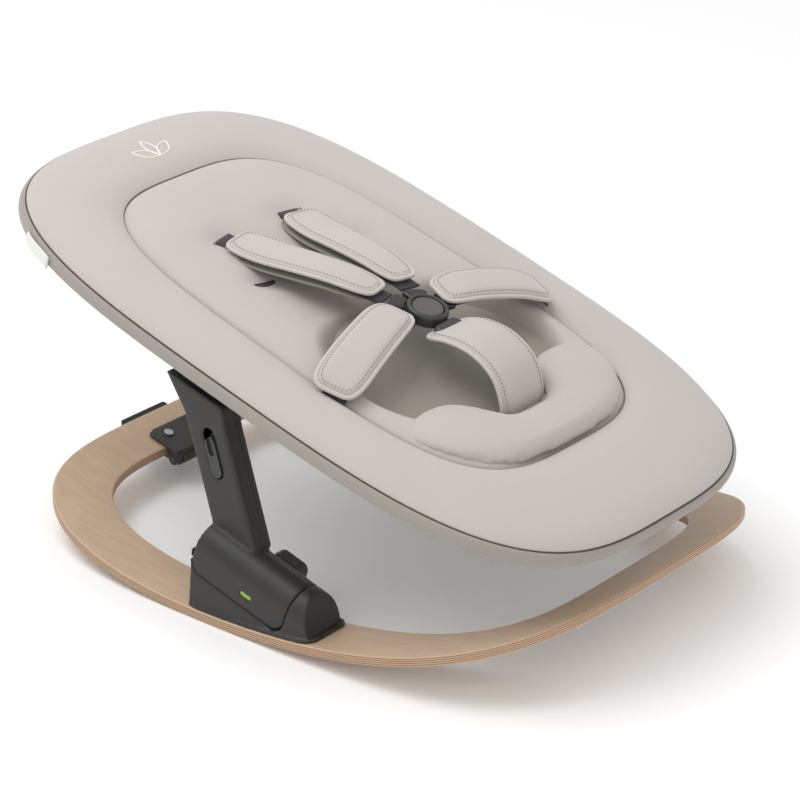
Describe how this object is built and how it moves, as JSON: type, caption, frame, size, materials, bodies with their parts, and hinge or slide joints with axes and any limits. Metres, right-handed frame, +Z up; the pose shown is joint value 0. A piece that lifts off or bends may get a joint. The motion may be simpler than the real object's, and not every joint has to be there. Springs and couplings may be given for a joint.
{
  "type": "bouncer seat",
  "caption": "Newborn bouncer seat: padded tilted seat with a buckle harness, on plug-in legs over a closed bent-plywood rocker ring with a fold-out stand.",
  "frame": {"origin": "on the floor under the middle of the object's bounding box", "axes": "+X from the head towards the feet, +Y towards the sitter's left side, +Z up"},
  "size_m": [0.7153, 0.48, 0.3612],
  "materials": {
    "birch_plywood": "satin",
    "charcoal_plastic": "matte",
    "dark_plastic": "satin",
    "button_plastic": "matte",
    "green_plastic": "gloss",
    "steel_screws": "satin",
    "coated_steel": "satin",
    "spring_steel": "polished",
    "rubber_foot": "matte",
    "seat_fabric": "matte",
    "underside_fabric": "matte",
    "harness_fabric": "matte",
    "dark_webbing": "matte",
    "label_fabric": "matte"
  },
  "bodies": {
    "rocker": {"rocker_board": "birch_plywood", "foot_socket_right": "charcoal_plastic", "foot_socket_left": "charcoal_plastic", "socket_screws": "steel_screws", "stand_bracket": "charcoal_plastic", "stand_pin": "coated_steel", "stand_screws": "steel_screws"},
    "stand": {"stand_flap": "charcoal_plastic", "stand_foot": "rubber_foot"},
    "leg_frame": {"leg_outer_shell_right": "charcoal_plastic", "leg_outer_shell_left": "charcoal_plastic", "leg_inner_shell_right": "charcoal_plastic", "leg_inner_shell_left": "charcoal_plastic", "leg_screws": "steel_screws", "cross_tube": "coated_steel", "lock_indicator_right": "green_plastic", "lock_indicator_left": "green_plastic", "release_springs": "spring_steel"},
    "recline_catch_right": {"recline_slider_right": "button_plastic", "recline_pawl_right": "dark_plastic"},
    "recline_catch_left": {"recline_slider_left": "button_plastic", "recline_pawl_left": "dark_plastic"},
    "release_right": {"release_button_right": "button_plastic"},
    "release_left": {"release_button_left": "button_plastic"},
    "seat": {"seat_frame_tube": "coated_steel", "seat_hub_right": "charcoal_plastic", "seat_hub_left": "charcoal_plastic", "under_cover": "underside_fabric", "seat_pad": "seat_fabric", "leg_rest_pad": "seat_fabric", "label_tab": "label_fabric", "buckle_housing": "dark_plastic", "buckle_spring": "spring_steel", "tongue_shoulder_right": "dark_plastic", "tongue_shoulder_left": "dark_plastic", "tongue_waist_right": "dark_plastic", "tongue_waist_left": "dark_plastic", "shoulder_pad_right": "harness_fabric", "shoulder_pad_left": "harness_fabric", "waist_pad_right": "harness_fabric", "waist_pad_left": "harness_fabric", "crotch_pad": "harness_fabric", "shoulder_webbing_right": "dark_webbing", "shoulder_webbing_left": "dark_webbing", "waist_webbing_right": "dark_webbing", "waist_webbing_left": "dark_webbing", "crotch_webbing": "dark_webbing"},
    "buckle_press": {"buckle_button": "button_plastic"}
  },
  "joints": [
    {"name": "stand_fold", "type": "hinge", "parent": "rocker", "child": "stand", "pos_m": [-0.24, 0, 0.029], "axis": [0, -1, 0], "range_deg": [0, 29.5]},
    {"name": "seat_lift", "type": "slide", "parent": "rocker", "child": "leg_frame", "axis": [0.284, 0, 0.9588], "range_m": [0, 0.06]},
    {"name": "recline", "type": "hinge", "parent": "leg_frame", "child": "seat", "pos_m": [-0.04408, 0, 0.20315], "axis": [0, -1, 0], "range_deg": [0, 9]},
    {"name": "recline_catch_right_slide", "type": "slide", "parent": "leg_frame", "child": "recline_catch_right", "axis": [-0.284, 0, 0.9588], "range_m": [0, 0.008], "stiffness_N_per_m": 400},
    {"name": "recline_catch_left_slide", "type": "slide", "parent": "leg_frame", "child": "recline_catch_left", "axis": [-0.284, 0, 0.9588], "range_m": [0, 0.008], "stiffness_N_per_m": 400},
    {"name": "release_right_press", "type": "slide", "parent": "leg_frame", "child": "release_right", "axis": [0, -1, 0], "range_m": [0, 0.004], "stiffness_N_per_m": 600},
    {"name": "release_left_press", "type": "slide", "parent": "leg_frame", "child": "release_left", "axis": [0, 1, 0], "range_m": [0, 0.004], "stiffness_N_per_m": 600},
    {"name": "buckle_button_press", "type": "slide", "parent": "seat", "child": "buckle_press", "axis": [-0.284, 0, -0.9588], "range_m": [0, 0.003], "stiffness_N_per_m": 700}
  ]
}
